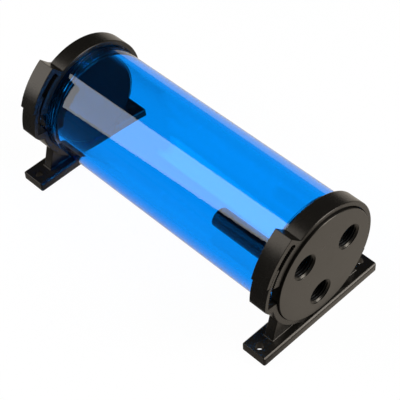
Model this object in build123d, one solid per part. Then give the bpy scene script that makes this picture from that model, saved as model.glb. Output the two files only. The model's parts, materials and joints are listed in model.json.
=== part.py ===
from build123d import *
from math import cos, sin, radians, pi
import os

os.makedirs("parts", exist_ok=True)

# A tube reservoir that lies on two ratchet pipe clamps. X runs along the tube, +X to the ported end.
# The origin is on the resting plane, halfway between the clamps and halfway along their feet.

# Tube
tube_od = 60.0
tube_wall = 5.0
tube_length = 158.5
tube_end_chamfer = 0.5

# End caps, screwed into the tube
flange_thickness = 5.0
flange_inset = 0.05
plug_length = 10.25
plug_clearance = 0.08
cap_chamfer = 0.5
plug_chamfer = 0.8

# Ports in the front cap
port_count = 3
port_radius = 6.6
port_inset = 7.9
port_first_angle = 22.0
port_chamfer = 0.4

# Cord seals between the flanges and the tube's end faces
seal_cord = 1.8
seal_sides = 6
seal_clearance = 0.07
seal_groove_width = 2.4

# Dip pipe, screwed into the lowest port from inside
pipe_od = 11.4
pipe_bore = 8.4
pipe_reach = 49.5
pipe_seat_radius = 6.2
pipe_seat_depth = 5.0
pipe_screw_clearance = 0.08
pipe_end_chamfer = 0.6

# Clamp ring
ring_clearance = 0.3
ring_thickness = 2.8
clamp_width = 9.6
clamp_cap_setback = 1.1
ring_edge = 0.35

# Foot
foot_length = 78.0
foot_width = 14.4
foot_height = 5.0
foot_corner = 1.0
foot_round = 1.5
foot_hole_radius = 2.1
foot_hole_inset = 4.25
tube_above_foot = 0.4
tube_offset = 2.1

# Pedestal between foot and ring
web_width = 5.2
web_inset = 10.2
web_taper = 3.4
web_rise = 12.5
plinth_height = 0.6
plinth_margin = 0.5

# Ratchet: angles are about the tube axis, 0 along +Y and 90 straight up
hinge_angle = -25.0
hinge_clearance = 0.06
hinge_cheek = 0.9
tooth_pitch_angle = 1.8
tooth_height = 0.6
tooth_lean = 0.75
slot_end_angle = 123.8
free_teeth = 11
engaged_teeth = 8
finger_teeth = 20
finger_inner_gap = 5.5
finger_thickness = 2.0
tongue_gap = 0.9
tooth_mesh = 0.27
slot_end_sweep = 1.4
finger_tip_sweep = 0.6
jaw_wall = 0.15
jaw_wall_lead = 1.2
jaw_wall_overrun = 0.9
jaw_drop = 3.4
jaw_under_sweep = 5.0
jaw_root_sweep = 9.0
jaw_root_bite = 0.2
jaw_floor_sweep = 1.5
ring_start_sweep = 5.4
step_angle = 117.2
step_rise = 1.6
step_sweep = 1.4
grip_angle = 121.0
grip_height = 3.4
grip_end_height = 2.0
grip_crease_angle = 150.5
grip_crease_rise = 0.25

# Derived places
tube_radius = tube_od / 2
bore_radius = tube_radius - tube_wall
port_pitch_radius = bore_radius - port_inset
axis_z = foot_height + tube_radius + tube_above_foot
cap_face_x = tube_length / 2 + flange_thickness
plug_end_x = tube_length / 2 - plug_length
clamp_x = cap_face_x - clamp_cap_setback - clamp_width / 2
flange_radius = tube_radius - flange_inset
plug_radius = bore_radius - plug_clearance
ring_inner = tube_radius + ring_clearance
ring_outer = ring_inner + ring_thickness
seal_centre_radius = bore_radius + tube_wall / 2
seal_x = tube_length / 2 + seal_clearance + seal_cord / 2
foot_hole_spacing = foot_length - 2 * foot_hole_inset
web_base_length = foot_length - 2 * web_inset
finger_inner = ring_inner + finger_inner_gap
finger_outer = finger_inner + finger_thickness
tongue_outer = finger_inner - tongue_gap
grip_inner = finger_outer - tooth_mesh
grip_teeth_count = free_teeth + engaged_teeth
tongue_teeth_count = grip_teeth_count + 1
finger_tip_angle = slot_end_angle + free_teeth * tooth_pitch_angle
grip_end_angle = slot_end_angle + grip_teeth_count * tooth_pitch_angle
tongue_end_angle = slot_end_angle + tongue_teeth_count * tooth_pitch_angle
finger_base_angle = finger_tip_angle + finger_teeth * tooth_pitch_angle
jaw_root_angle = finger_base_angle + jaw_root_sweep
ring_start_angle = finger_base_angle + ring_start_sweep
port_angles = [port_first_angle + 360 / port_count * k for k in range(port_count)]
pipe_port = port_count - 1


def polar(radius, angle):
    """A point of the clamp's outline, about the tube axis."""
    return (radius * cos(radians(angle)), radius * sin(radians(angle)))


def arc(radius, start, end):
    return ThreePointArc(polar(radius, start), polar(radius, (start + end) / 2), polar(radius, end))


def saw_edge(root, crest, start, teeth, turn=1):
    """Saw teeth from an angle onwards, each with a steep and a sloping flank."""
    lean = tooth_lean if turn > 0 else 1 - tooth_lean
    points = [polar(root, start)]
    for k in range(teeth):
        points.append(polar(crest, start + turn * tooth_pitch_angle * (k + lean)))
        points.append(polar(root, start + turn * tooth_pitch_angle * (k + 1)))
    return Polyline(*points)


def line_to(edge, point):
    return Line(edge @ 1, point)


def prism(face, width, centre_x):
    """A sketch in the plane across the tube, drawn out along X about centre_x."""
    return Pos(centre_x - width / 2, tube_offset, axis_z) * extrude(Plane.YZ * face, width)


def outer_edges(solid, radius):
    """The long curved edges of a clamp at a given radius about the tube axis."""
    return [e for e in solid.edges().filter_by(GeomType.CIRCLE)
            if abs(e.radius - radius) < 0.01 and e.length > ring_thickness]


def make_tube():
    body = Cylinder(tube_radius, tube_length) - Cylinder(bore_radius, tube_length)
    body = chamfer(body.edges().filter_by(GeomType.CIRCLE), tube_end_chamfer)
    return Pos(0, tube_offset, axis_z) * Rot(0, 90, 0) * body


def cap_blank():
    """A turned cap at the +X end, drawn with its axis on X through the origin."""
    groove_floor = seal_x + seal_cord / 2 + seal_clearance
    flange_x = tube_length / 2
    groove_low = seal_centre_radius - seal_groove_width / 2
    groove_high = seal_centre_radius + seal_groove_width / 2
    outline = Polyline(
        (plug_end_x, 0), (plug_end_x, plug_radius - plug_chamfer), (plug_end_x + plug_chamfer, plug_radius),
        (flange_x, plug_radius), (flange_x, groove_low), (groove_floor, groove_low),
        (groove_floor, groove_high), (flange_x, groove_high), (flange_x, flange_radius),
        (cap_face_x - cap_chamfer, flange_radius), (cap_face_x, flange_radius - cap_chamfer),
        (cap_face_x, 0), close=True)
    return revolve(make_face(outline), Axis.X)


def port_place(index):
    y, z = (port_pitch_radius * cos(radians(port_angles[index])),
            port_pitch_radius * sin(radians(port_angles[index])))
    return y, z


def make_front_cap():
    cap = cap_blank()
    length = cap_face_x - plug_end_x
    for index in range(port_count):
        y, z = port_place(index)
        seat = pipe_seat_depth if index == pipe_port else 0
        drill = Pos(plug_end_x + (length + seat) / 2, y, z) * Rot(0, 90, 0) * Cylinder(
            port_radius, length - seat)
        if seat:
            cap = cap - Pos(plug_end_x + seat / 2, y, z) * Rot(0, 90, 0) * Cylinder(pipe_seat_radius, seat)
        mouth = Pos(cap_face_x - port_chamfer / 2, y, z) * Rot(0, 90, 0) * Cone(
            port_radius, port_radius + port_chamfer, port_chamfer)
        cap = cap - drill - mouth
    return Pos(0, tube_offset, axis_z) * cap


def make_rear_cap():
    return Pos(0, tube_offset, axis_z) * Rot(0, 0, 180) * cap_blank()


def make_seal(side):
    section = Pos(0, seal_centre_radius) * RegularPolygon(seal_cord / 2, seal_sides)
    return Pos(side * seal_x, tube_offset, axis_z) * revolve(section, Axis.X)


def make_dip_pipe():
    y, z = port_place(pipe_port)
    low_x = plug_end_x - pipe_reach
    screw_radius = pipe_seat_radius - pipe_screw_clearance
    body = Pos(low_x + pipe_reach / 2, 0, 0) * Rot(0, 90, 0) * Cylinder(pipe_od / 2, pipe_reach)
    open_end = body.edges().filter_by(GeomType.CIRCLE).sort_by(Axis.X)[0]
    body = chamfer(open_end, pipe_end_chamfer)
    screw = Pos(plug_end_x + pipe_seat_depth / 2, 0, 0) * Rot(0, 90, 0) * Cylinder(
        screw_radius, pipe_seat_depth)
    total = pipe_reach + pipe_seat_depth
    bore = Pos(low_x + total / 2, 0, 0) * Rot(0, 90, 0) * Cylinder(pipe_bore / 2, total)
    return Pos(0, tube_offset + y, axis_z + z) * (body + screw - bore)


def hinge_face(radius):
    """A disc about the flexing line of the clamp, at the middle of the ring's thickness."""
    y, z = polar((ring_inner + ring_outer) / 2, hinge_angle)
    return Pos(y, z) * Circle(radius)


def make_strap(side):
    inner = arc(ring_inner, hinge_angle, tongue_end_angle)
    tongue_root = tongue_outer - tooth_height
    tongue_end = line_to(inner, polar(tongue_root, tongue_end_angle))
    tongue_teeth = saw_edge(tongue_root, tongue_outer, tongue_end_angle, tongue_teeth_count, -1)
    slot_mid = (tongue_root + grip_inner) / 2
    slot_end = ThreePointArc(
        tongue_teeth @ 1, polar(slot_mid, slot_end_angle - slot_end_sweep), polar(grip_inner, slot_end_angle))
    grip_teeth = saw_edge(grip_inner, grip_inner + tooth_height, slot_end_angle, grip_teeth_count)
    grip_end = line_to(grip_teeth, polar(finger_outer + grip_end_height, grip_end_angle))
    crease = polar(finger_outer + grip_end_height + grip_crease_rise, grip_crease_angle)
    grip_low = line_to(grip_end, crease)
    grip_top = polar(finger_outer + grip_height, grip_angle)
    middle = (grip_angle + grip_crease_angle) / 2
    grip_middle = polar(finger_outer + (grip_height + grip_end_height) / 2, middle)
    grip_back = ThreePointArc(crease, grip_middle, grip_top)
    shoulder = polar(ring_outer + step_rise, step_angle + step_sweep)
    step_face = Polyline(grip_top, shoulder, polar(ring_outer, step_angle))
    outer = arc(ring_outer, step_angle, hinge_angle)
    root = line_to(outer, inner @ 0)
    face = make_face([inner, tongue_end, tongue_teeth, slot_end, grip_teeth, grip_end, grip_low, grip_back,
                      step_face, outer, root])
    face = face + hinge_face(ring_thickness / 2)
    solid = prism(face, clamp_width, side * clamp_x)
    return chamfer(outer_edges(solid, ring_outer), ring_edge)


def jaw_face():
    """The lower jaw and its toothed finger, up to where the ring leaves it."""
    tip_inner = finger_inner + tooth_height
    tip_outer = finger_outer - tooth_height
    outer_base = finger_outer + jaw_wall
    inner_teeth = saw_edge(tip_inner, finger_inner, finger_base_angle, finger_teeth, -1)
    tip = ThreePointArc(
        inner_teeth @ 1, polar((tip_inner + tip_outer) / 2, finger_tip_angle - finger_tip_sweep),
        polar(tip_outer, finger_tip_angle))
    outer_teeth = saw_edge(tip_outer, finger_outer, finger_tip_angle, engaged_teeth)
    wall_start = line_to(outer_teeth, polar(outer_base, grip_end_angle + jaw_wall_lead))
    wall = arc(outer_base, grip_end_angle + jaw_wall_lead, finger_base_angle + jaw_wall_overrun)
    under = Polyline(wall @ 1, polar(ring_outer + jaw_drop, finger_base_angle + jaw_under_sweep),
                     polar(ring_outer - jaw_root_bite, jaw_root_angle), polar(ring_inner, jaw_root_angle))
    bore = arc(ring_inner, jaw_root_angle, finger_base_angle + jaw_floor_sweep)
    floor = line_to(bore, polar(tip_inner, finger_base_angle))
    return make_face([inner_teeth, tip, outer_teeth, wall_start, wall, under, bore, floor])


def make_foot(side):
    ring_end = 360 + hinge_angle - hinge_cheek / ring_inner * 180 / pi
    inner = arc(ring_inner, ring_start_angle, ring_end)
    outer = arc(ring_outer, ring_end, ring_start_angle)
    ring_face = make_face([inner, line_to(inner, outer @ 0), outer, line_to(outer, inner @ 0)])
    ring_face = ring_face - hinge_face(ring_thickness / 2 + hinge_clearance) + jaw_face()
    ring = prism(ring_face, clamp_width, side * clamp_x)
    bar = Pos(0, 0, foot_height / 2) * Box(foot_width, foot_length, foot_height)
    bar = fillet(bar.edges().filter_by(Axis.Y).group_by(Axis.Z)[-1], foot_round)
    plan = extrude(RectangleRounded(foot_width, foot_length, foot_corner), foot_height)
    bar = Pos(side * clamp_x, 0, 0) * (bar & plan)
    top = foot_height + web_rise
    half_base = web_base_length / 2
    half_top = half_base - web_taper
    web_outline = Polyline((-half_base, foot_height / 2), (-half_base, foot_height), (-half_top, top),
                           (half_top, top), (half_base, foot_height), (half_base, foot_height / 2), close=True)
    web = Pos(side * clamp_x - web_width / 2, 0, 0) * extrude(Plane.YZ * make_face(web_outline), web_width)
    plinth = Pos(side * clamp_x, 0, foot_height + plinth_height / 2) * Box(
        web_width + 2 * plinth_margin, web_base_length + 2 * plinth_margin, plinth_height)
    room = Pos(side * clamp_x, tube_offset, axis_z) * Rot(0, 90, 0) * Cylinder(ring_inner, foot_width)
    body = (ring + bar + web + plinth) - room
    for end in (-1, 1):
        body = body - Pos(side * clamp_x, end * foot_hole_spacing / 2, foot_height / 2) * Cylinder(
            foot_hole_radius, foot_height)
    return body


def write(shape, name):
    shape.label = name
    export_step(shape, f"parts/{name}.step")


write(make_tube(), "tube")
write(make_front_cap(), "front_cap")
write(make_rear_cap(), "rear_cap")
write(make_seal(1), "front_seal")
write(make_seal(-1), "rear_seal")
write(make_dip_pipe(), "dip_pipe")
for end_name, side in (("front", 1), ("rear", -1)):
    write(make_foot(side), f"{end_name}_clamp_foot")
    write(make_strap(side), f"{end_name}_clamp_strap")
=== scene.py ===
import json
import math
import bpy
import bmesh
from mathutils import Matrix, Vector


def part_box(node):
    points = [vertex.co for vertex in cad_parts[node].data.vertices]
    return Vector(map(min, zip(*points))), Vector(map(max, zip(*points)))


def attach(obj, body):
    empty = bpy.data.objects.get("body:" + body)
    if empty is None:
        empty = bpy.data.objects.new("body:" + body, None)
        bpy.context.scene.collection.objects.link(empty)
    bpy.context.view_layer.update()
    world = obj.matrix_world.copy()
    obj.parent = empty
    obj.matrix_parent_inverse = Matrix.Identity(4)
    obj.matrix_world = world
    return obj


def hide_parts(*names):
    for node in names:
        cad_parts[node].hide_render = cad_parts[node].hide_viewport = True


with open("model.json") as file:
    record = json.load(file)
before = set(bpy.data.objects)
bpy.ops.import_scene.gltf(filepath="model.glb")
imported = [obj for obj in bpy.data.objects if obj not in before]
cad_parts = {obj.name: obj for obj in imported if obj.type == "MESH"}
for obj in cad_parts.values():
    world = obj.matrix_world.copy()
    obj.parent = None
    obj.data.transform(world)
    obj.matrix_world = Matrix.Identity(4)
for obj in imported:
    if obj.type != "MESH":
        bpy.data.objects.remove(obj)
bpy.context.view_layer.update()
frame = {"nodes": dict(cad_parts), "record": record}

mm = 0.001
print("frame loaded")

# places and sizes shared by the pieces, all read from the frame
tubeLow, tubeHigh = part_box("tube")
capLow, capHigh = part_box("front_cap")
axisY = (tubeLow.y + tubeHigh.y) / 2
axisZ = (tubeLow.z + tubeHigh.z) / 2
tubeRadius = (tubeHigh.y - tubeLow.y) / 2
tubeEnd = tubeHigh.x
capFace = capHigh.x
plugEnd = capLow.x
flangeRadius = (capHigh.y - capLow.y) / 2
mounts = {m["name"]: m for m in frame["record"]["mounts"]}
ports = [mounts[name] for name in ("port_right", "port_left", "port_low")]
portRadius = ports[0]["dims"]["r_mm"] * mm


# shader maths

class Wire:
    # one output of a node, so that sums and products can be written as such
    def __init__(self, tree, socket):
        self.tree = tree
        self.socket = socket

    def join(self, operation, first, second):
        node = self.tree.nodes.new("ShaderNodeMath")
        node.operation = operation
        for slot, value in zip(node.inputs, (first, second)):
            if isinstance(value, Wire):
                self.tree.links.new(value.socket, slot)
            else:
                slot.default_value = value
        return Wire(self.tree, node.outputs[0])

    def out(self, name):
        return Wire(self.tree, self.socket.node.outputs[name])

    def __add__(self, other):
        return self.join("ADD", self, other)

    def __radd__(self, other):
        return self.join("ADD", other, self)

    def __sub__(self, other):
        return self.join("SUBTRACT", self, other)

    def __rsub__(self, other):
        return self.join("SUBTRACT", other, self)

    def __mul__(self, other):
        return self.join("MULTIPLY", self, other)

    def __rmul__(self, other):
        return self.join("MULTIPLY", other, self)


class Finish:
    # a material under construction
    def __init__(self, name):
        self.material = bpy.data.materials.new(name)
        self.material.use_nodes = True
        self.tree = self.material.node_tree
        self.tree.nodes.clear()

    @classmethod
    def on(cls, tree):
        # the same helpers for a node tree that exists already
        self = cls.__new__(cls)
        self.tree = tree
        return self

    def add(self, kind, settings=None, sockets=None):
        node = self.tree.nodes.new(kind)
        for key, value in (settings or {}).items():
            setattr(node, key, value)
        for key, value in (sockets or {}).items():
            slot = node.inputs[key]
            if isinstance(value, Wire):
                self.tree.links.new(value.socket, slot)
            else:
                slot.default_value = value
        return Wire(self.tree, node.outputs[0]) if node.outputs else None

    def place(self):
        return self.add("ShaderNodeTexCoord").out("Object")

    def noise(self, scale, detail, vector=None):
        vector = vector or self.place()
        return self.add("ShaderNodeTexNoise", {"noise_dimensions": "3D"},
                        {"Vector": vector, "Scale": scale, "Detail": detail})

    def blend(self, amount, first, second):
        return self.add("ShaderNodeMix", {"data_type": "RGBA"}, {0: amount, 6: first, 7: second}).out(2)

    def bump(self, height, strength, distance, under=None):
        sockets = {"Height": height, "Strength": strength, "Distance": distance}
        if under:
            sockets["Normal"] = under
        return self.add("ShaderNodeBump", {}, sockets)

    def surface(self, shader):
        self.add("ShaderNodeOutputMaterial", {}, {"Surface": shader})
        return self.material


# finishes

acrylic = {
    "tint": (0.0003, 0.292, 1.0, 1),   # the colour through both walls, all of it laid on the outside
    "inside": (1, 1, 1, 1),
    "skin": 3.5 * mm,          # what lies less deep than this in the wall counts as the outside
    "index": 1.49,
    "roughness": 0.01,
    "ripple": 0.05,
    "drawnOut": 0.02,          # how fast the ripple changes along the tube, against 1 across it
    "fineScale": 900,
    "fineDepth": 0.01 * mm,
    "broadScale": 120,
    "broadDepth": 0.05 * mm,
    "rippleDetail": 2,
    "shadow": (0.25, 0.62, 0.97, 1),
}


def makeAcrylic():
    f = Finish("clear blue acrylic")
    drawn = f.add("ShaderNodeMapping", {}, {"Vector": f.place(), "Scale": (acrylic["drawnOut"], 1, 1)})
    fine = f.noise(acrylic["fineScale"], acrylic["rippleDetail"], drawn)
    broad = f.noise(acrylic["broadScale"], acrylic["rippleDetail"], drawn)
    normal = f.bump(fine, acrylic["ripple"], acrylic["fineDepth"])
    normal = f.bump(broad, acrylic["ripple"], acrylic["broadDepth"], normal)
    across = f.add("ShaderNodeVectorMath", {"operation": "MULTIPLY_ADD"}, {
        0: f.place(), 1: (0, 1, 1), 2: (0, -axisY, -axisZ)})
    radius = f.add("ShaderNodeVectorMath", {"operation": "LENGTH"}, {0: across}).out("Value")
    outside = f.add("ShaderNodeMath", {"operation": "GREATER_THAN"}, {0: radius, 1: tubeRadius - acrylic["skin"]})
    tint = f.blend(outside, acrylic["inside"], acrylic["tint"])
    glass = f.add("ShaderNodeBsdfPrincipled", {}, {
        "Base Color": tint, "Roughness": acrylic["roughness"], "IOR": acrylic["index"],
        "Transmission Weight": 1.0, "Normal": normal})
    clear = f.add("ShaderNodeBsdfTransparent", {}, {"Color": acrylic["shadow"]})
    shadowRay = f.add("ShaderNodeLightPath").out("Is Shadow Ray")
    return f.surface(f.add("ShaderNodeMixShader", {}, {0: shadowRay, 1: glass, 2: clear}))


acetal = {
    "dark": (0.0050, 0.0046, 0.0040, 1),
    "pale": (0.0100, 0.0090, 0.0074, 1),
    "index": 1.48,
    "roughness": 0.30,         # in the middle, with the clouds half up and half down from it
    "shine": 0.42,
    "sheen": (1.0, 0.90, 0.76, 1),
    "cloudScale": 90,
    "cloudWear": 0.12,         # how far the clouds change the roughness
    "turning": 0.12 * mm,      # spacing of the lathe tool's marks, divided by 2 pi
    "turningWaver": 0.4,
    "turningBump": 0.15,
    "turningDepth": 0.01 * mm,
    "grainScale": 4500,
    "grainBump": 0.10,
    "grainDepth": 0.02 * mm,
}
waveRate = 20      # at scale 1, the ring texture's phase runs at this many radians a metre


def makeAcetal():
    f = Finish("turned black acetal")
    centred = f.add("ShaderNodeVectorMath", {"operation": "SUBTRACT"}, {0: f.place(), 1: (0, axisY, axisZ)})
    rings = f.add("ShaderNodeTexWave", {"wave_type": "RINGS", "rings_direction": "X"}, {
        "Vector": centred, "Scale": 1 / acetal["turning"] / waveRate,
        "Distortion": acetal["turningWaver"], "Detail": 1.0})
    cloud = f.noise(acetal["cloudScale"], 4)
    colour = f.blend(cloud, acetal["dark"], acetal["pale"])
    rough = cloud * acetal["cloudWear"] + (acetal["roughness"] - acetal["cloudWear"] / 2)
    normal = f.bump(f.noise(acetal["grainScale"], 2), acetal["grainBump"], acetal["grainDepth"])
    normal = f.bump(rings.out("Fac"), acetal["turningBump"], acetal["turningDepth"], normal)
    return f.surface(f.add("ShaderNodeBsdfPrincipled", {}, {
        "Base Color": colour, "Roughness": rough, "IOR": acetal["index"], "Specular IOR Level": acetal["shine"],
        "Specular Tint": acetal["sheen"], "Normal": normal}))


# the cut faces in the ports and on the plug's end: rougher and duller as cut, and darker than the turned acetal as
# painted shade, since they lie in the ports' hollows and inside the tube
cutThreadWithShade = {
    "dark": (0.0022, 0.0020, 0.0018, 1),
    "pale": acetal["dark"],
    "roughness": 0.45,
    "shine": 0.10,
    "cloudScale": 700,
    "cloudWear": 0.1,
    "grainScale": 3000,
    "grainBump": 0.2,
    "grainDepth": 0.02 * mm,
}


def makeCutThreadWithShade():
    f = Finish("cut threads in black acetal with painted shade")
    cloud = f.noise(cutThreadWithShade["cloudScale"], 3)
    colour = f.blend(cloud, cutThreadWithShade["dark"], cutThreadWithShade["pale"])
    rough = cloud * cutThreadWithShade["cloudWear"] + (cutThreadWithShade["roughness"] - cutThreadWithShade["cloudWear"] / 2)
    normal = f.bump(f.noise(cutThreadWithShade["grainScale"], 2), cutThreadWithShade["grainBump"], cutThreadWithShade["grainDepth"])
    return f.surface(f.add("ShaderNodeBsdfPrincipled", {}, {
        "Base Color": colour, "Roughness": rough, "IOR": acetal["index"],
        "Specular IOR Level": cutThreadWithShade["shine"], "Normal": normal}))


nylon = {
    "dark": (0.0048, 0.0044, 0.0038, 1),
    "pale": (0.0095, 0.0085, 0.0070, 1),
    "index": 1.50,
    "roughness": 0.27,
    "shine": 0.32,
    "sheen": (1.0, 0.90, 0.78, 1),
    "cloudScale": 60,
    "cloudWear": 0.14,
    "cloudBump": 0.2,
    "cloudDepth": 0.15 * mm,
    "grainSize": 0.35 * mm,
    "grainWear": 0.08,
    "grainBump": 0.25,
    "grainDepth": 0.03 * mm,
}


def makeNylon():
    f = Finish("moulded black nylon")
    cloud = f.noise(nylon["cloudScale"], 4)
    grain = f.noise(1 / nylon["grainSize"], 3)
    colour = f.blend(cloud, nylon["dark"], nylon["pale"])
    smoothest = nylon["roughness"] - (nylon["cloudWear"] + nylon["grainWear"]) / 2
    rough = cloud * nylon["cloudWear"] + grain * nylon["grainWear"] + smoothest
    normal = f.bump(cloud, nylon["cloudBump"], nylon["cloudDepth"])
    normal = f.bump(grain, nylon["grainBump"], nylon["grainDepth"], normal)
    return f.surface(f.add("ShaderNodeBsdfPrincipled", {}, {
        "Base Color": colour, "Roughness": rough, "IOR": nylon["index"], "Specular IOR Level": nylon["shine"],
        "Specular Tint": nylon["sheen"], "Normal": normal}))


polish = {
    "base": (0.003, 0.003, 0.003, 1),
    "roughness": 0.05,         # between the smears
    "shine": 0.2,
    "smearScale": 220,
    "drawnOut": 0.2,           # how fast the smears change along the pipe, against 1 across it
    "smearWear": 0.04,
    "smearBump": 0.05,
    "smearDepth": 0.05 * mm,
}


def makePolish():
    f = Finish("polished black acetal")
    drawn = f.add("ShaderNodeMapping", {}, {"Vector": f.place(), "Scale": (polish["drawnOut"], 1, 1)})
    smear = f.noise(polish["smearScale"], 4, drawn)
    rough = smear * polish["smearWear"] + polish["roughness"]
    normal = f.bump(smear, polish["smearBump"], polish["smearDepth"])
    return f.surface(f.add("ShaderNodeBsdfPrincipled", {}, {
        "Base Color": polish["base"], "Roughness": rough, "IOR": acetal["index"],
        "Specular IOR Level": polish["shine"], "Normal": normal}))


rubber = {
    "dark": (0.006, 0.006, 0.006, 1),
    "pale": (0.012, 0.012, 0.012, 1),
    "roughness": 0.6,
    "cloudScale": 400,
    "cloudWear": 0.1,
}


def makeRubber():
    f = Finish("black seal rubber")
    cloud = f.noise(rubber["cloudScale"], 3)
    colour = f.blend(cloud, rubber["dark"], rubber["pale"])
    rough = cloud * rubber["cloudWear"] + (rubber["roughness"] - rubber["cloudWear"] / 2)
    return f.surface(f.add("ShaderNodeBsdfPrincipled", {}, {"Base Color": colour, "Roughness": rough}))


finishes = {
    "blue_acrylic": makeAcrylic(),
    "black_acetal": makeAcetal(),
    "black_nylon": makeNylon(),
    "black_rubber": makeRubber(),
}
pipeFinish = makePolish()
cutFinishWithShade = makeCutThreadWithShade()
for part in frame["record"]["subparts"]:
    mesh = frame["nodes"][part["node"]].data
    mesh.materials.clear()
    mesh.materials.append(finishes[part["material_slot"]])
print("finishes made")


# mesh helpers

flatMark = 1      # marks faces that stay flat, until they are shaded


def shade(mesh, angle):
    # smooth everywhere but on flat faces and across edges sharper than the angle in degrees
    work = bmesh.new()
    work.from_mesh(mesh)
    for face in work.faces:
        face.smooth = face.material_index != flatMark
    for edge in work.edges:
        flat = any(face.material_index == flatMark for face in edge.link_faces)
        edge.smooth = not edge.is_manifold or (not flat and edge.calc_face_angle() < math.radians(angle))
    for face in work.faces:
        face.material_index = 0
    work.to_mesh(mesh)
    work.free()


def weighNormals(mesh):
    # large faces keep their own normals, so only the eased edges turn the light
    work = bmesh.new()
    work.from_mesh(mesh)
    work.faces.ensure_lookup_table()
    areas = [face.calc_area() for face in work.faces]
    normals = []
    for face in work.faces:
        for corner in face.loops:
            vert = corner.vert
            group, waiting = {face.index}, [face]
            while waiting:
                here = waiting.pop()
                for edge in here.edges:
                    if vert not in edge.verts or not edge.smooth:
                        continue
                    for other in edge.link_faces:
                        if other.index not in group:
                            group.add(other.index)
                            waiting.append(other)
            total = Vector()
            for index in group:
                total += work.faces[index].normal * areas[index]
            normals.append(total.normalized() if face.smooth and total.length > 0 else face.normal.copy())
    work.free()
    mesh.normals_split_custom_set(normals)


def addPiece(name, mesh, body, slot, *replaced):
    piece = bpy.data.objects.new(name, mesh)
    bpy.context.scene.collection.objects.link(piece)
    mesh.materials.clear()
    mesh.materials.append(finishes[slot])
    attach(piece, body)
    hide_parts(*replaced)
    return piece


def addRings(work, rings, segments, centre=None, closed=False):
    # rings are (x, radius) in order, and a radius may be a function of the angle
    y, z = centre or (axisY, axisZ)
    rows = []
    for x, radius in rings:
        row = []
        for k in range(segments):
            a = 2 * math.pi * k / segments
            r = radius(a) if callable(radius) else radius
            row.append(work.verts.new((x, y + r * math.cos(a), z + r * math.sin(a))))
        rows.append(row)
    for low, high in zip(rows, rows[1:] + rows[:1] if closed else rows[1:]):
        for k in range(segments):
            n = (k + 1) % segments
            work.faces.new((low[k], low[n], high[n], high[k]))
    return rows


def finishMesh(name, work, angle):
    bmesh.ops.recalc_face_normals(work, faces=work.faces)
    mesh = bpy.data.meshes.new(name)
    work.to_mesh(mesh)
    work.free()
    shade(mesh, angle)
    return mesh


def lathe(name, rings, segments, centre=None, closed=False, angle=30):
    work = bmesh.new()
    addRings(work, rings, segments, centre, closed)
    return finishMesh(name, work, angle)


def fillFlat(work, loops):
    # closes a flat face inside its outer loop and around its inner ones
    edges = []
    for row in loops:
        for k in range(len(row)):
            edges.append(work.edges.get((row[k], row[(k + 1) % len(row)])))
    made = bmesh.ops.triangle_fill(work, use_beauty=True, use_dissolve=False, edges=edges)
    for face in made["geom"]:
        if isinstance(face, bmesh.types.BMFace):
            face.material_index = flatMark


def threadWave(x, a, pitch, flat=0.18):
    # 0 in the root and 1 on the crest of a right-hand thread with trimmed tips
    t = (x / pitch - a / (2 * math.pi)) % 1.0
    height = 1 - abs(2 * t - 1)
    return min(max((height - flat) / (1 - 2 * flat), 0), 1)


# tube

tubeShape = {
    "bore": 25.0 * mm,
    "segments": 256,
    "endChamfer": 0.5 * mm,
    "threadPitch": 1.5 * mm,
    "threadDepth": 0.45 * mm,
    "threadLength": 9.6 * mm,
    "stepsPerTurn": 8,
    "reliefDepth": 0.26 * mm,
    # the groove that ends the thread: millimetres past the thread, and the share of its depth there
    "relief": [(0, 0), (0.12, 1), (0.38, 1), (0.5, 0), (1.2, 0), (3.0, 0)],
    "smoothBelow": 24,         # degrees between faces
}


def makeTube():
    s = tubeShape
    chamfer = s["endChamfer"]
    rings = [(-tubeEnd, tubeRadius - chamfer), (-tubeEnd + chamfer, tubeRadius)]
    rings += [(tubeEnd - chamfer, tubeRadius), (tubeEnd, tubeRadius - chamfer), (tubeEnd, s["bore"] + chamfer)]
    step = s["threadPitch"] / s["stepsPerTurn"]
    count = int((s["threadLength"] - chamfer) / step)

    def groove(x, distance):
        # the thread runs out over its last turn
        fade = min(1, (s["threadLength"] - distance) / s["threadPitch"]) * min(1, distance / chamfer)
        return lambda a: s["bore"] + s["threadDepth"] * fade * threadWave(x, a, s["threadPitch"])

    for k in range(count + 1):
        x = tubeEnd - chamfer - k * step
        rings.append((x, groove(x, tubeEnd - x)))
    reliefEnd = tubeEnd - s["threadLength"]
    relief = [(reliefEnd - along * mm, s["bore"] + deep * s["reliefDepth"]) for along, deep in s["relief"]]
    rings += relief + [(-x, radius) for x, radius in reversed(relief)]
    for k in range(count, -1, -1):
        x = -(tubeEnd - chamfer - k * step)
        rings.append((x, groove(x, tubeEnd + x)))
    rings.append((-tubeEnd, s["bore"] + chamfer))
    mesh = lathe("clear_tube", rings, s["segments"], closed=True, angle=s["smoothBelow"])
    addPiece("clear_tube", mesh, "reservoir", "blue_acrylic", "tube")


makeTube()
print("tube made")


# caps

capShape = {
    "segments": 192,
    "edgeChamfer": 0.2 * mm,      # around the outer face
    "innerChamfer": 0.15 * mm,    # around the side against the tube
    "plugRadius": 24.86 * mm,
    "plugChamfer": 0.8 * mm,
    "threadRise": 0.34 * mm,      # into the grooves of the tube
    "threadStart": 0.9 * mm,      # from the plug's end
    "threadEnd": 1.0 * mm,        # from the flange
    "sealGroove": (26.3 * mm, 28.7 * mm),
    "sealDepth": 1.94 * mm,
    "roughSkin": 0.1 * mm,        # what lies closer to the plug's end is its end face
    "smoothBelow": 28,
}
portShape = {
    "segments": 96,
    "mouthRadius": 6.95 * mm,
    "mouthEdge": 0.08 * mm,       # the broken edge at the face
    "mouthDepth": 0.45 * mm,      # the straight wall below the face, above the slope down to the thread
    "pitch": 1.337 * mm,
    "depth": 0.80 * mm,
    "stepsPerTurn": 10,
    "threadLength": 13.2 * mm,
    "seatRadius": 6.2 * mm,
    "seatDepth": 5.0 * mm,
    "seatFrom": 3.0 * mm,         # a port shorter than the cap by more than this ends in a pipe's seat
}


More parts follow.
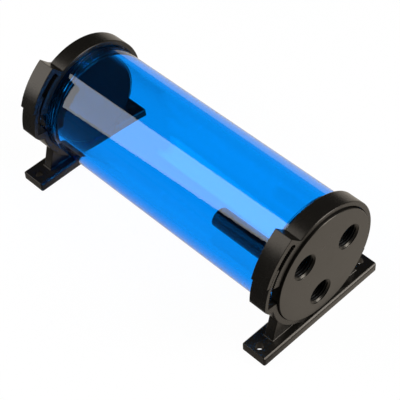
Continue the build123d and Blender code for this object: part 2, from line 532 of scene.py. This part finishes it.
def flangeRings(side):
    # from the edge of the outer face round to the edge of the plug's end
    s = capShape
    inner, outer = s["sealGroove"]
    floor = tubeEnd + s["sealDepth"]
    plug = s["plugRadius"]
    rings = [(capFace, flangeRadius - s["edgeChamfer"]), (capFace - s["edgeChamfer"], flangeRadius)]
    rings += [(tubeEnd + s["innerChamfer"], flangeRadius), (tubeEnd, flangeRadius - s["innerChamfer"])]
    rings += [(tubeEnd, outer), (floor, outer), (floor, inner), (tubeEnd, inner), (tubeEnd, plug)]
    pitch = tubeShape["threadPitch"]
    step = pitch / tubeShape["stepsPerTurn"]
    low = plugEnd + s["threadStart"]
    high = tubeEnd - s["threadEnd"]
    for k in range(int((high - low) / step), -1, -1):
        x = low + k * step
        fade = max(min(1, (x - low) / pitch, (high - x) / pitch), 0)

        def crest(a, x=x, fade=fade):
            return plug + s["threadRise"] * fade * threadWave(side * x, a, pitch)
        rings.append((x, crest))
    rings += [(plugEnd + s["plugChamfer"], plug), (plugEnd, plug - s["plugChamfer"])]
    return [(side * x, r) for x, r in rings]


def portRings(place):
    # from the mouth inwards; a port with a pipe ends in the pipe's seat
    s = portShape
    hasSeat = place["dims"]["length_mm"] * mm < capFace - plugEnd - s["seatFrom"]
    wallEnd = capFace - s["mouthDepth"]
    wallRadius = s["mouthRadius"] - s["mouthEdge"]
    rings = [(capFace, s["mouthRadius"]), (capFace - s["mouthEdge"], wallRadius), (wallEnd, wallRadius)]
    step = s["pitch"] / s["stepsPerTurn"]
    end = plugEnd + (s["seatDepth"] if hasSeat else 0)
    length = min(s["threadLength"], wallEnd - end - step)
    for k in range(1, int(length / step) + 1):
        x = wallEnd - k * step
        lead = wallRadius - (wallEnd - x)     # the slope cuts the first crests away
        runout = max(min(1, (length - k * step) / s["pitch"]), 0)

        def wall(a, x=x, lead=lead, runout=runout):
            return max(portRadius - s["depth"] * runout * threadWave(x, a, s["pitch"]), lead)
        rings.append((x, wall))
    rings.append((end, portRadius))
    if hasSeat:
        rings += [(end, s["seatRadius"]), (plugEnd, s["seatRadius"])]
    return rings


def leaveRoughAndShaded(mesh, rough):
    # the plug's end, and what else is named, is left as the cutter leaves it, rougher and duller, and darkened as
    # painted shade for the hollows these faces lie in
    mesh.materials.append(cutFinishWithShade)
    for face in mesh.polygons:
        if abs(face.center.x) < plugEnd + capShape["roughSkin"] or rough(face.center):
            face.material_index = 1


def makeFrontCap():
    work = bmesh.new()
    rows = addRings(work, flangeRings(1), capShape["segments"])
    outside, inside = [rows[0]], [rows[-1]]
    for place in ports:
        rows = addRings(work, portRings(place), portShape["segments"], place["pos_m"][1:])
        outside.append(rows[0])
        inside.append(rows[-1])
    fillFlat(work, outside)
    fillFlat(work, inside)
    mesh = finishMesh("ported_cap", work, capShape["smoothBelow"])
    addPiece("ported_cap", mesh, "front_cap", "black_acetal", "front_cap")
    leadEnd = capFace - portShape["mouthDepth"] - (portShape["mouthRadius"] - portRadius) - portShape["depth"]

    def inPort(point):
        away = [math.hypot(point.y - place["pos_m"][1], point.z - place["pos_m"][2]) for place in ports]
        return point.x < leadEnd and min(away) < portShape["mouthRadius"]
    leaveRoughAndShaded(mesh, inPort)


def makeRearCap():
    work = bmesh.new()
    rows = addRings(work, flangeRings(-1), capShape["segments"])
    fillFlat(work, [rows[0]])
    fillFlat(work, [rows[-1]])
    mesh = finishMesh("blank_cap", work, capShape["smoothBelow"])
    addPiece("blank_cap", mesh, "rear_cap", "black_acetal", "rear_cap")
    leaveRoughAndShaded(mesh, lambda point: False)


makeFrontCap()
makeRearCap()
print("caps made")


# dip pipe and seals

pipeShape = {
    "segments": 96,
    "radius": 5.7 * mm,
    "bore": 4.2 * mm,
    "screw": 6.12 * mm,        # radius of the end that is screwed into the cap
    "endRound": 0.6 * mm,
    "roundSteps": 4,
    "chamfer": 0.2 * mm,
    "shoulder": 0.01 * mm,
}
sealShape = {"segments": 160, "around": 14, "cord": 0.9 * mm, "smoothBelow": 60}


def makePipe():
    s = pipeShape
    low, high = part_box("dip_pipe")
    centre = ((low.y + high.y) / 2, (low.z + high.z) / 2)
    seat = high.x - portShape["seatDepth"]
    chamfer = s["chamfer"]
    rings = [(low.x, s["bore"] + chamfer)]
    for k in range(s["roundSteps"] + 1):
        a = math.pi / 2 * k / s["roundSteps"]
        rings.append((low.x + s["endRound"] * (1 - math.cos(a)), s["radius"] - s["endRound"] * (1 - math.sin(a))))
    rings += [(seat - s["shoulder"], s["radius"]), (seat, s["screw"]), (high.x - chamfer, s["screw"])]
    rings += [(high.x, s["screw"] - chamfer), (high.x, s["bore"] + chamfer), (high.x - chamfer, s["bore"])]
    rings.append((low.x + chamfer, s["bore"]))
    mesh = lathe("dip_tube", rings, s["segments"], centre, closed=True)
    piece = addPiece("dip_tube", mesh, "front_cap", "black_acetal", "dip_pipe")
    piece.data.materials[0] = pipeFinish


def makeSeal(node, body):
    s = sealShape
    low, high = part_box(node)
    x = (low.x + high.x) / 2
    middle = sum(capShape["sealGroove"]) / 2
    rings = []
    for k in range(s["around"]):
        a = 2 * math.pi * k / s["around"]
        rings.append((x + s["cord"] * math.cos(a), middle + s["cord"] * math.sin(a)))
    mesh = lathe(node + "_cord", rings, s["segments"], closed=True, angle=s["smoothBelow"])
    addPiece(node + "_cord", mesh, body, "black_rubber", node)


makePipe()
makeSeal("front_seal", "front_seal_carrier")
makeSeal("rear_seal", "rear_seal_carrier")
print("pipe and seals made")


# clamps

clampLook = {
    "foot": 0.40 * mm,         # how far the outer edges are eased
    "strap": 0.22 * mm,
    "easeSegments": 3,
    "sharpFrom": 28,           # degrees between faces, for an edge that is eased
    "smoothBelow": 40,         # and for one that is shaded smooth
    "flatWithin": 0.6,         # degrees; flatter facets than this become one face
    "weld": 0.0005 * mm,
    # what stays sharp, measured from the tube's axis where nothing else is said
    "toothLow": 34.2 * mm,
    "toothHigh": 38.6 * mm,
    "toothDrop": 1.0 * mm,     # the teeth reach this far below the axis
    "boreEdge": 0.6 * mm,      # the ring's inner edge, from the tube's surface
    "aroundScrew": 3.5 * mm,   # from a screw's axis
    "aroundHinge": 2.4 * mm,   # the thin cheeks, from the strap's hinge
    "ringOutside": 34.2 * mm,  # the ring's edges where they run into the bar,
    "ringFace": 4.0 * mm,      # this far from the clamp's middle
    "aboveBar": 1.2 * mm,      # and up to here above the bar
}
screws = mounts["foot_screws"]["dims"]
screwX = screws["spacing_x_mm"] / 2 * mm
screwY = screws["spacing_y_mm"] / 2 * mm
barTop = mounts["foot_screws"]["pos_m"][2]
joints = {joint["name"]: joint for joint in frame["record"]["behaviour"]["joints"]}
hingeY, hingeZ = joints["front_strap_open"]["pos_m"][1:]


def strapStaysSharp(point):
    r = math.hypot(point.y - axisY, point.z - axisZ)
    teeth = clampLook["toothLow"] < r < clampLook["toothHigh"] and point.z > axisZ - clampLook["toothDrop"]
    return teeth or r < tubeRadius + clampLook["boreEdge"]


def footStaysSharp(point):
    r = math.hypot(point.y - axisY, point.z - axisZ)
    hole = math.hypot(abs(point.x) - screwX, abs(point.y) - screwY) < clampLook["aroundScrew"]
    cheek = math.hypot(point.y - hingeY, point.z - hingeZ) < clampLook["aroundHinge"]
    onRing = r < clampLook["ringOutside"] and abs(abs(point.x) - screwX) > clampLook["ringFace"]
    joined = onRing and point.z < barTop + clampLook["aboveBar"]
    return hole or cheek or joined or strapStaysSharp(point)


def easedCopy(node, width, staysSharp):
    # the CAD solid's own shape, with its outer edges eased
    s = clampLook
    mesh = frame["nodes"][node].data.copy()
    work = bmesh.new()
    work.from_mesh(mesh)
    bmesh.ops.remove_doubles(work, verts=work.verts, dist=s["weld"])
    bmesh.ops.dissolve_limit(work, angle_limit=math.radians(s["flatWithin"]), verts=work.verts, edges=work.edges)
    eased = []
    for edge in work.edges:
        corner = edge.is_manifold and edge.is_convex and edge.calc_face_angle() >= math.radians(s["sharpFrom"])
        if corner and not any(staysSharp(vert.co) for vert in edge.verts):
            eased.append(edge)
    bmesh.ops.bevel(work, geom=eased, offset=width, offset_type="OFFSET", segments=s["easeSegments"],
                    profile=0.5, affect="EDGES", clamp_overlap=False)
    work.to_mesh(mesh)
    work.free()
    shade(mesh, s["smoothBelow"])
    weighNormals(mesh)
    return mesh


def makeMoulding(end, piece, body, staysSharp):
    node = end + "_clamp_" + piece
    mesh = easedCopy(node, clampLook[piece], staysSharp)
    addPiece(end + "_" + piece + "_moulding", mesh, body, "black_nylon", node)


for end in ("front", "rear"):
    makeMoulding(end, "foot", "reservoir", footStaysSharp)
    makeMoulding(end, "strap", end + "_strap", strapStaysSharp)
print("clamps made")


# light and background

seen = {
    "backdrop": 1.0,           # what the camera sees behind the object, and clear parts below the horizon
    "ambient": 0.16,           # what the room sheds on rough surfaces
    "floorColour": (0.9, 0.9, 0.9, 1),
    "floorWhite": 0.97,        # share of plain white over the floor's own shade
    "floorHalf": 4.0,
    "ceiling": 0.02,           # the dark room overhead, seen in reflections and through clear parts
    "horizon": 0.07,
    "horizonRise": (0.0, 0.25),
    "clearRise": (0.02, 0.30),                 # clear parts see white up to here, and the dark room above
    "frontFloorPaintedShade": (0.03, 0.028, 0.025, 1),     # painted shade: the floor in front, as reflections see it, darkened as if in shadow
    "backFloorPaintedLight": (0.80, 0.72, 0.62, 1),        # painted light: beside the object, the floor glows warm in reflections as if lit
    "frontToBack": (-0.06, 0.0),
}
sideCard = {
    "direction": (0.75, 0.45, 0.48),
    "distance": 0.70,
    "length": 0.80,
    "width": 0.26,
    "slid": 0,
    "radiance": 10.0,
}
softbox = {
    "angle": 128.4,        # about the tube, 90 straight up, 180 towards the latches
    "along": -0.482,       # share of the direction that runs along the tube
    "turned": 24.2,        # its long side against the tube
    "distance": 0.60,
    "length": 0.74,
    "slid": -0.165,        # along its length
    "width": 0.447,
    "radiance": 3.9,
}


def makeFloor():
    f = Finish("white floor")
    diffuse = f.add("ShaderNodeBsdfDiffuse", {}, {"Color": seen["floorColour"]})
    y = f.add("ShaderNodeSeparateXYZ", {}, {"Vector": f.place()}).out("Y")
    front, back = seen["frontToBack"]
    behind = f.add("ShaderNodeMapRange", {"interpolation_type": "SMOOTHSTEP"}, {
        "Value": y, "From Min": front, "From Max": back})
    # painted light and shade: in reflections the floor glows dark in front, as if in shadow, and warm behind and
    # beside, as if lit
    mirrored = f.blend(behind, seen["frontFloorPaintedShade"], seen["backFloorPaintedLight"])
    path = f.add("ShaderNodeLightPath")
    plain = path.out("Is Camera Ray") + path.out("Is Transmission Ray")
    white = (seen["backdrop"], seen["backdrop"], seen["backdrop"], 1)
    tone = f.blend(f.add("ShaderNodeClamp", {}, {"Value": plain}), mirrored, white)
    glow = f.add("ShaderNodeEmission", {}, {"Color": tone, "Strength": 1.0})
    watched = f.add("ShaderNodeClamp", {}, {"Value": plain + path.out("Is Glossy Ray")})
    amount = watched * seen["floorWhite"]
    material = f.surface(f.add("ShaderNodeMixShader", {}, {0: amount, 1: diffuse, 2: glow}))
    mesh = bpy.data.meshes.new("floor")
    half = seen["floorHalf"]
    corners = [(-half, -half, 0), (half, -half, 0), (half, half, 0), (-half, half, 0)]
    mesh.from_pydata(corners, [], [(0, 1, 2, 3)])
    mesh.materials.append(material)
    floor = bpy.data.objects.new("floor", mesh)
    bpy.context.scene.collection.objects.link(floor)


def makeWorld():
    world = bpy.data.worlds.new("white room")
    bpy.context.scene.world = world
    world.use_nodes = True
    tree = world.node_tree
    background = tree.nodes["Background"]
    background.inputs["Strength"].default_value = 1.0
    f = Finish.on(tree)
    path = f.add("ShaderNodeLightPath")
    direction = f.add("ShaderNodeTexCoord").out("Generated")
    height = f.add("ShaderNodeSeparateXYZ", {}, {"Vector": direction}).out("Z")
    low, high = seen["horizonRise"]
    overhead = f.add("ShaderNodeMapRange", {}, {
        "Value": height, "From Min": low, "From Max": high, "To Min": seen["horizon"], "To Max": seen["ceiling"]})
    low, high = seen["clearRise"]
    through = f.add("ShaderNodeMapRange", {}, {
        "Value": height, "From Min": low, "From Max": high, "To Min": seen["backdrop"], "To Max": seen["ceiling"]})
    camera = path.out("Is Camera Ray")
    clear = path.out("Is Transmission Ray") * (1 - camera)
    mirrored = path.out("Is Glossy Ray") * (1 - camera) * (1 - clear)
    other = (1 - camera) * (1 - clear) * (1 - mirrored)
    tone = camera * seen["backdrop"] + clear * through + mirrored * overhead + other * seen["ambient"]
    tree.links.new(tone.socket, background.inputs["Color"])


def turnedTo(place, back, side):
    # a lamp or camera at a place, with its back this way and its right side about that way
    back = Vector(back).normalized()
    side = Vector(side)
    side = (side - back * side.dot(back)).normalized()
    turn = Matrix((side, back.cross(side), back)).transposed().to_4x4()
    return Matrix.Translation(place) @ turn


def addLamp(name, shape, direction, side):
    lamp = bpy.data.lights.new(name, "AREA")
    lamp.shape = "RECTANGLE"
    lamp.size = shape["length"]
    lamp.size_y = shape["width"]
    lamp.energy = shape["radiance"] * math.pi * shape["length"] * shape["width"]
    holder = bpy.data.objects.new(name, lamp)
    bpy.context.scene.collection.objects.link(holder)
    place = Vector((0, axisY, axisZ)) + Vector(direction).normalized() * shape["distance"]
    holder.matrix_world = turnedTo(place, direction, side) @ Matrix.Translation((shape["slid"], 0, 0))


def makeLights():
    a = math.radians(softbox["angle"])
    across = math.sqrt(1 - softbox["along"] ** 2)
    direction = (softbox["along"], across * math.cos(a), across * math.sin(a))
    turned = math.radians(softbox["turned"])
    side = (math.cos(turned), math.sin(a) * math.sin(turned), -math.cos(a) * math.sin(turned))
    addLamp("softbox", softbox, direction, side)
    addLamp("side card", sideCard, sideCard["direction"], (0, 0, 1))


makeFloor()
makeWorld()
makeLights()
print("light made")


# camera, fitted to the photograph

lens = {
    "focalPixels": 1366.553,
    "framePixels": 400,
    "sensor": 36.0,
    "place": (333.99 * mm, -296.74 * mm, 516.71 * mm),
    "right": (0.7025, 0.7106, -0.0403),
    "forward": (-0.4943, 0.4463, -0.7460),
    "nearest": 0.01,
    "farthest": 20,
}


def makeCamera():
    camera = bpy.data.cameras.new("camera")
    camera.sensor_width = lens["sensor"]
    camera.lens = lens["sensor"] * lens["focalPixels"] / lens["framePixels"]
    camera.clip_start = lens["nearest"]
    camera.clip_end = lens["farthest"]
    holder = bpy.data.objects.new("camera", camera)
    bpy.context.scene.collection.objects.link(holder)
    holder.matrix_world = turnedTo(Vector(lens["place"]), -Vector(lens["forward"]), lens["right"])
    bpy.context.scene.camera = holder


makeCamera()
bpy.context.scene.view_settings.view_transform = "Standard"

print("scene ready")
